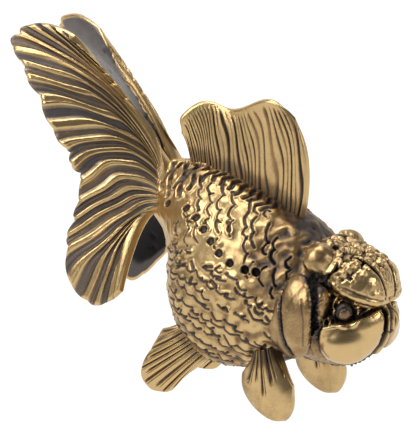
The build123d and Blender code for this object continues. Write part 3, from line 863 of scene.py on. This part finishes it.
tail_brass = rubbed_brass("tail_rubbed_brass")
for side, name in ((1, "left"), (-1, "right")):
    shares = tail_ray_shares
    if side > 0:
        shares = shares[:-len(left_lobe_ray_shares)] + left_lobe_ray_shares
    rays = []
    for k, ray in enumerate(shares):
        down = k / (len(shares) - 1)
        root_share = tail_root_top_share + (tail_root_low_share - tail_root_top_share) * down
        spots = [(fin_sink * (1 + down) / 2, side * (tail_root_thickness / 2 + tail_seam),
                  root_share * tail_root_height / 2)]
        spots += [(along * tail_length, side * out * tail_spread, over * tail_drop)
                  for along, out, over in ray]
        rays.append([at(*spot) for spot in spots])
    sway = hand.uniform(0, 2 * pi, 4)
    pleat_weight = hand.uniform(0.25, 1.0, tail_pleats + 2)
    grid, v, u = fin_grid(rays, 760, 150, scalloped_rim)
    rim, first, last, from_root, edge = edge_distances(grid)
    wobble = 0.13 * np.sin(2 * pi * (1.2 * u + 3 * v) + sway[2])
    wobble += 0.07 * np.sin(2 * pi * (2.7 * u + 7 * v) + sway[3])
    phase = np.interp(v, pleat_place, pleat_rank)
    phase = phase + wobble * ease(0.1, 0.5, u) * ease(0.0, 0.04, v) * (1 - ease(0.95, 1.0, v))
    rank = np.clip(np.round(phase - 0.5).astype(int), 0, tail_pleats)
    off = abs(phase - np.round(phase))
    valley = ease(0.13, 0.34, off)
    fine = line((3 * phase) % 1 - 0.5, 0.14) * (0.5 + 0.5 * np.sin(4.4 * rank + 7 * u))
    thread = line(off - 0.5, 0.090) * pleat_weight[rank] * (0.6 + 0.4 * np.sin(7 * u + 2.1 * rank))
    side_thread = line(off - 0.30, 0.045) * (0.5 + 0.5 * np.sin(1.9 * rank + 5 * u))
    crest_line = line(phase - np.round(phase) - 0.05, 0.030) * np.clip(np.sin(3.4 * rank + 6 * u), 0, 1)
    depth = np.minimum(pleat_depth, 0.34 * (first + last) / tail_pleats) * ease(0.0, 3.0, from_root)
    edges = ease(0.2, 1.1, first) * ease(1.3, 2.1, last)
    cuts = valley * (1 - 0.45 * thread) - 0.14 * side_thread + 0.16 * crest_line + 0.14 * fine
    grain = blurred(hand.normal(size=phase.shape), 2)
    front_roll = np.clip(1 - ((last - 0.95) / 0.95) ** 2, 0, 1) * ease(0.05, 0.3, u)
    nick = line((11 * u + 0.4 * np.sin(9 * u)) % 1 - 0.5, 0.10)
    nick = nick * (1 - ease(0.9, 1.5, first)) * ease(0.35, 0.5, u)
    outer = depth * edges * cuts + 0.04 * np.abs(grain) + 0.22 * nick
    outer = outer - 0.30 * front_roll - 0.95 * line(from_root, 2.4)
    front_gold = (1 - ease(0.12, 0.30, v)) * (1 - ease(0.55, 0.85, u))
    darkness = valley * (0.94 + 0.12 * np.sin(2.3 * rank + 3 * u)) * (1 - 0.6 * front_gold)
    darkness = darkness - 0.16 - 0.62 * thread - 0.40 * side_thread
    darkness = darkness + 0.6 * crest_line + 0.22 * fine * (1 - valley) + 0.5 * nick
    darkness = darkness * (0.25 + 0.75 * edges) * ease(0.3, 2.6, from_root) - 0.10 * (1 - ease(0.2, 0.8, rim))
    casting_pits, rough_bits = np.zeros_like(outer), np.zeros_like(outer)
    for pit in range(cast_pits):
        spot, size = hand.uniform(size=2), hand.uniform(0.22, 0.55)
        middle = grid[int(20 + spot[0] * (grid.shape[0] - 60)), int(20 + spot[1] * 100)]
        casting_pits = np.maximum(casting_pits, line(np.linalg.norm(grid - middle, axis=2), size))
        if pit < rough_spots:
            middle = grid[int(6 + 30 * spot[0]), int(44 + 34 * spot[1])]
            rough_bits = np.maximum(rough_bits, line(np.linalg.norm(grid - middle, axis=2), size))
    inner = 0.22 * casting_pits + 0.06 * np.abs(blurred(grain, 3)) - 0.28 * rough_bits
    inside = ease(0.6, 1.1, edge)
    # The inner face darkens towards its root and over its lower part, partly patina and partly painted
    # shade where the two halves face each other.
    low_dark = 1.1 * ease(0.58, 0.70, v) * (1 - 0.5 * ease(0.80, 0.95, u))
    root_dark = np.maximum(0.8 * (1 - ease(0.20, 0.45, u)), low_dark)
    inner_soot_and_painted_shade = (1.25 * root_dark + 0.25) * inside - 0.05 + 0.8 * casting_pits - 0.3 * rough_bits
    inner_slate = np.clip(0.92 * inside - 0.8 * rough_bits - root_dark, 0, 1)
    half = fin(
        f"tail_half_{name}", grid,
        tail_root_thickness + (tail_rim_thickness - tail_root_thickness) * u,
        outer, inner, (darkness, 0.5 * (1 - valley), 0.50 * valley * edges * (1 - front_gold)),
        (inner_soot_and_painted_shade, 0.2, inner_slate),
        np.array([0, side, 0]),
    )
    half.data.materials.append(tail_brass)
    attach(half, "root")
    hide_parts(f"tail_fin_{name}")


# Back fin. A thin casting pegged into the back, with fine rays that sweep to the rear and a
# smooth rim that waves from side to side.

fin_root_thickness = 1.8
fin_rim_thickness = 1.0
dorsal_rear = 3.0
dorsal_length = 19.5
dorsal_height = 21.3
dorsal_wave = 1.6
dorsal_lines = 31
dorsal_ray_shares = (
    (1.00, (0.85, 0.746), (0.60, 0.967), 0.0),
    (0.85, (0.67, 0.728), (0.41, 1.000), -0.5),
    (0.64, (0.46, 0.667), (0.24, 0.860), 0.1),
    (0.44, (0.26, 0.582), (0.07, 0.732), 0.8),
    (0.23, (0.07, 0.535), (-0.11, 0.700), 0.4),
    (0.09, (-0.06, 0.479), (-0.20, 0.573), -0.6),
    (0.00, (-0.11, 0.390), (-0.21, 0.470), -1.0),
)

rays = []
for root, middle, tip, wave in dorsal_ray_shares:
    foot = dorsal_rear + root * dorsal_length
    back_over, back_high, _ = ring_at(foot)
    rays.append([
        at(foot, 0, back_over + back_high - fin_sink),
        at(dorsal_rear + middle[0] * dorsal_length, wave * dorsal_wave / 3, middle[1] * dorsal_height),
        at(dorsal_rear + tip[0] * dorsal_length, wave * dorsal_wave, tip[1] * dorsal_height),
    ])


def rounded_corners(v):
    """How far the back fin's rim is drawn back, to round its rear and front corners."""
    return 1.7 * ease(0.84, 1.0, v) ** 2 + 0.5 * (1 - ease(0.0, 0.05, v))


grid, v, u = fin_grid(rays, 620, 130, rounded_corners)
rim, first, last, from_root, _ = edge_distances(grid)
polish = 1 - 0.75 * ease(0.86, 0.94, v) * ease(0.45, 0.6, u)
root_soot = 0.40 * (1 - ease(1.6, 4.2, from_root)) + 0.12 * ease(0.6, 1.6, rim)
faces, paints = [], []
for face in range(2):
    sway = hand.uniform(0, 2 * pi, 3)
    phase = dorsal_lines * v * (0.6 + 0.4 * v) + 0.45 * np.sin(2 * pi * 3.3 * v + sway[0])
    phase = phase + 0.2 * np.sin(9 * u + 31 * v + sway[1])
    rank, place = np.floor(phase), phase % 1
    weight = 0.55 + 0.45 * np.sin(2.7 * rank + sway[2])
    reach = ease(0.55, 1.5 + 0.6 * weight, rim) * ease(0.15, 0.7, np.minimum(first, last))
    cut = line(place - 0.5, 0.09 + 0.13 * weight) * reach
    cut = cut * (0.65 + 0.35 * np.sin(3.1 * rank + 4 * u)) * polish
    grain = np.abs(blurred(hand.normal(size=phase.shape), 2))
    faces.append((0.12 + 0.16 * weight) * cut + 0.04 * grain)
    paints.append((1.05 * cut * (0.55 + 0.45 * weight) + root_soot, 0.35, 0))
back_fin = fin(
    "back_fin", grid, fin_root_thickness + (fin_rim_thickness - fin_root_thickness) * u,
    *faces, *paints, np.array([0, 1, 0]),
)
back_fin.data.materials.append(rubbed_brass("back_fin_brass"))
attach(back_fin, "root")
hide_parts("dorsal_fin")


# Lower fins. Four small leaves pegged into the belly, that the fish stands on. The front pair
# are plump with a smooth lower end, and the rear pair are flat fans. Their tips are ground
# flat so that all four stand on the table.

foot_flat = 0.35
leg_bow_share = 0.30
# Each kind also sets a painted shade over its whole leaf and a painted dark reflection on the rear of its
# lower end.
lower_fins = {
    "pectoral": dict(along=27.4, out=6.4, root_width=2.8, reach=8.6, flare=0.8, ribs=6, plump=1.20,
                     ribs_end=0.66, leaf_shade=0.10, end_dark_reflection=0.30, ray_shares=(
        (-0.35, 0.50, 0.71), (-0.32, 0.87, 0.46), (-0.17, 1.00, 0.24), (0.07, 1.00, 0.07),
        (0.40, 1.00, 0.00), (0.61, 0.87, 0.25), (0.60, 0.50, 0.65))),
    "pelvic": dict(along=16.0, out=4.2, root_width=6.5, reach=8.6, flare=1.8, ribs=9, plump=0.16,
                   ribs_end=1.05, leaf_shade=-0.04, end_dark_reflection=0.0, ray_shares=(
        (-0.57, 0.28, 1.36), (-0.78, 0.67, 0.88), (-0.92, 0.94, 0.55), (-0.94, 1.06, 0.28),
        (-0.80, 1.06, 0.08), (-0.59, 1.00, 0.00), (-0.35, 0.78, 0.16))),
}


def belly_at(along, out):
    """The belly's surface at one place along and out."""
    over, high, wide = ring_at(along)
    return over - high * sqrt(max(0, 1 - (out / wide) ** 2))


leg_brass = rubbed_brass("leg_fin_rubbed_brass", grain=0.5)
for kind, made in lower_fins.items():
    for side, name in ((1, "left"), (-1, "right")):
        middle = at(made["along"], side * made["out"], belly_at(made["along"], made["out"]))
        rays = []
        count = len(made["ray_shares"])
        for k, (forward, outward_, high) in enumerate(made["ray_shares"]):
            spot = made["along"] + made["root_width"] * (k / (count - 1) - 1 / 2)
            root = at(spot, side * made["out"], belly_at(spot, made["out"]) + fin_sink)
            end = np.array([
                middle[0] + forward * made["reach"],
                middle[1] + side * outward_ * made["flare"],
                high * middle[2] - foot_flat,
            ])
            bow = np.array([0, side * made["flare"] * leg_bow_share, 0])
            rays.append([root, (root + end) / 2 + bow, end])
        grid, v, u = fin_grid(rays, 250, 110)
        _, first, last, from_root, edge = edge_distances(grid)
        round_end = np.sqrt(1 - (1 - np.clip(edge / 3.0, 0, 1)) ** 2) * ease(0.0, 0.5, edge)
        plump = made["plump"] * np.clip(1 - (2 * v - 1) ** 2, 0, 1) * round_end
        depth = np.minimum(0.26, 0.22 * (first + last) / made["ribs"])
        # Painted shade: the leaf is darkened near its root under the belly and shifted by a set amount for
        # each kind, and its lower end is darker on its rear side as a painted reflection.
        leaf_shade = made["leaf_shade"] + 0.35 * (1 - ease(1.2, 3.2, from_root))
        leaf_shade = leaf_shade + made["end_dark_reflection"] * (1 - v) * ease(0.50, 0.80, u)
        faces, paints = [], []
        for face in range(2):
            sway = hand.uniform(0, 2 * pi, 3)
            phase = made["ribs"] * v + 0.22 * np.sin(2 * pi * 1.7 * v + sway[0])
            rank, place = np.floor(phase), phase % 1
            last_share = made["ribs_end"] - 0.16 * (0.5 + 0.5 * np.sin(2.9 * rank + sway[1]))
            groove = line(place - 0.5, 0.13) + 0.5 * line(place - 0.84, 0.05)
            groove = groove * (1 - ease(last_share - 0.14, last_share, u))
            groove = groove * ease(0.15, 0.7, np.minimum(first, last))
            faces.append(depth * groove - plump)
            paints.append((0.85 * groove + leaf_shade, 1.0, 0))
        leg = fin(
            f"{kind}_leaf_{name}", grid, fin_root_thickness + (fin_rim_thickness - fin_root_thickness) * u,
            *faces, *paints, np.array([0, side, 0]),
        )
        leg.data.materials.append(leg_brass)
        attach(leg, "root")
        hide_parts(f"{kind}_fin_{name}")


# Studio. A white sheet that runs level under the fish and curves up behind it, two soft boxes
# at the upper left and the right, and a third over the top. The camera stands at the fish's
# right front, a little above it.

studio = 1.2
table = bpy.data.meshes.new("white_sheet")
sweep = [(-studio, 0.0)] + [
    (studio * (0.5 + 0.5 * sin(k * pi / 24)), studio * 0.5 * (1 - cos(k * pi / 24))) for k in range(13)
] + [(studio, 2 * studio)]
heading = Vector((-0.525, 0.809, 0)).normalized()
aside = Vector((heading.y, -heading.x, 0))
corners = [
    heading * reach + aside * edge * 2 * studio + Vector((0, 0, high))
    for reach, high in sweep for edge in (-1, 1)
]
table.from_pydata(
    [tuple(corner) for corner in corners], [],
    [(2 * k, 2 * k + 1, 2 * k + 3, 2 * k + 2) for k in range(len(sweep) - 1)],
)
table.shade_smooth()
sheet = bpy.data.objects.new("white_sheet", table)
bpy.context.scene.collection.objects.link(sheet)
paper = bpy.data.materials.new("white_paper")
paper.use_nodes = True
tree = paper.node_tree
matt = tree.nodes["Principled BSDF"]
matt.inputs["Base Color"].default_value = (0.86, 0.86, 0.86, 1)
matt.inputs["Roughness"].default_value = 0.9
glow = node(tree, "Emission", {"Strength": 1.2})
light = node(tree, "LightPath", {}).outputs
seen = light["Is Camera Ray"]
for ray in ("Is Glossy Ray", "Is Transmission Ray"):
    seen = node(tree, "Math", {0: seen, 1: light[ray]}, operation="MAXIMUM").outputs[0]
share = node(tree, "Math", {0: seen, 1: 0.82}, operation="MULTIPLY").outputs[0]
blend = node(tree, "MixShader", {0: share, 1: matt.outputs[0], 2: glow.outputs[0]})
feed(tree.nodes["Material Output"].inputs["Surface"], blend.outputs[0])
table.materials.append(paper)

world = bpy.data.worlds.new("studio")
world.use_nodes = True
world.node_tree.nodes["Background"].inputs["Color"].default_value = (0.24, 0.24, 0.25, 1)
world.node_tree.nodes["Background"].inputs["Strength"].default_value = 0.60
bpy.context.scene.world = world

aim = view_middle * mm
for name, place, size, power in (
    ("left_box", to_camera * 0.16 - right_way * 0.26 + Vector((0, 0, 0.20)), 0.26, 1.08),
    ("right_box", to_camera * 0.12 + right_way * 0.30 + Vector((0, 0, 0.08)), 0.12, 0.20),
    ("top_box", -to_camera * 0.04 + Vector((0, 0, 0.34)), 0.20, 0.62),
):
    lamp = bpy.data.lights.new(name, "AREA")
    lamp.size = size
    lamp.energy = power
    box = bpy.data.objects.new(name, lamp)
    box.location = aim + place
    box.rotation_mode = "QUATERNION"
    box.rotation_quaternion = (-place).to_track_quat("-Z", "Y")
    bpy.context.scene.collection.objects.link(box)

picture_high = 434
lens = bpy.data.cameras.new("camera")
lens.sensor_width = 36
lens.sensor_fit = "AUTO"
lens.clip_start, lens.clip_end = 0.01, 20
lens.lens = lens.sensor_width * camera_distance * pixels_per_mm / picture_high
camera = bpy.data.objects.new("camera", lens)
camera.location = aim + to_camera * camera_distance * mm
camera.rotation_mode = "QUATERNION"
camera.rotation_quaternion = (-to_camera).to_track_quat("-Z", "Y")
bpy.context.scene.collection.objects.link(camera)
bpy.context.scene.camera = camera
bpy.context.scene.view_settings.view_transform = "Standard"
